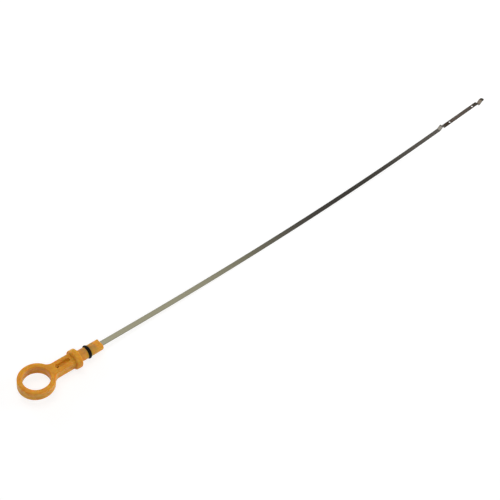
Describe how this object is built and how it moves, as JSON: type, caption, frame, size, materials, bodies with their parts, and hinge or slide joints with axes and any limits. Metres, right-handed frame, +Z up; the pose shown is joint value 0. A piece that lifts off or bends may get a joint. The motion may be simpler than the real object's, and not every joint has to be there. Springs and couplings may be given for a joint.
{
  "type": "engine oil dipstick",
  "caption": "Engine oil dipstick: moulded finger ring handle with collar, spigot and rubber seal ring on a long flat steel blade with crimps, level holes and a round tip.",
  "frame": {"origin": "on the spigot's axis in the plane of the collar's front face, the face that stops on the tube's mouth", "axes": "+X along the spigot towards the blade's tip, in the vertical plane of its axis, which dips 3.26 degrees as the part lies at rest; +Y across the finger ring; +Z up, out of the ring's upper face"},
  "size_m": [0.6861, 0.03, 0.021],
  "materials": {
    "handle_plastic": "orange-yellow glass-filled polyamide, moulded, satin with a faint flow mottle",
    "seal_rubber": "black nitrile rubber, smooth with a slight oily sheen",
    "blade_steel": "rolled spring steel strip with fine lengthwise grain, darker and brown towards the oil end"
  },
  "bodies": {
    "root": {"handle": "handle_plastic", "seal_ring": "seal_rubber", "blade": "blade_steel"}
  },
  "joints": []
}
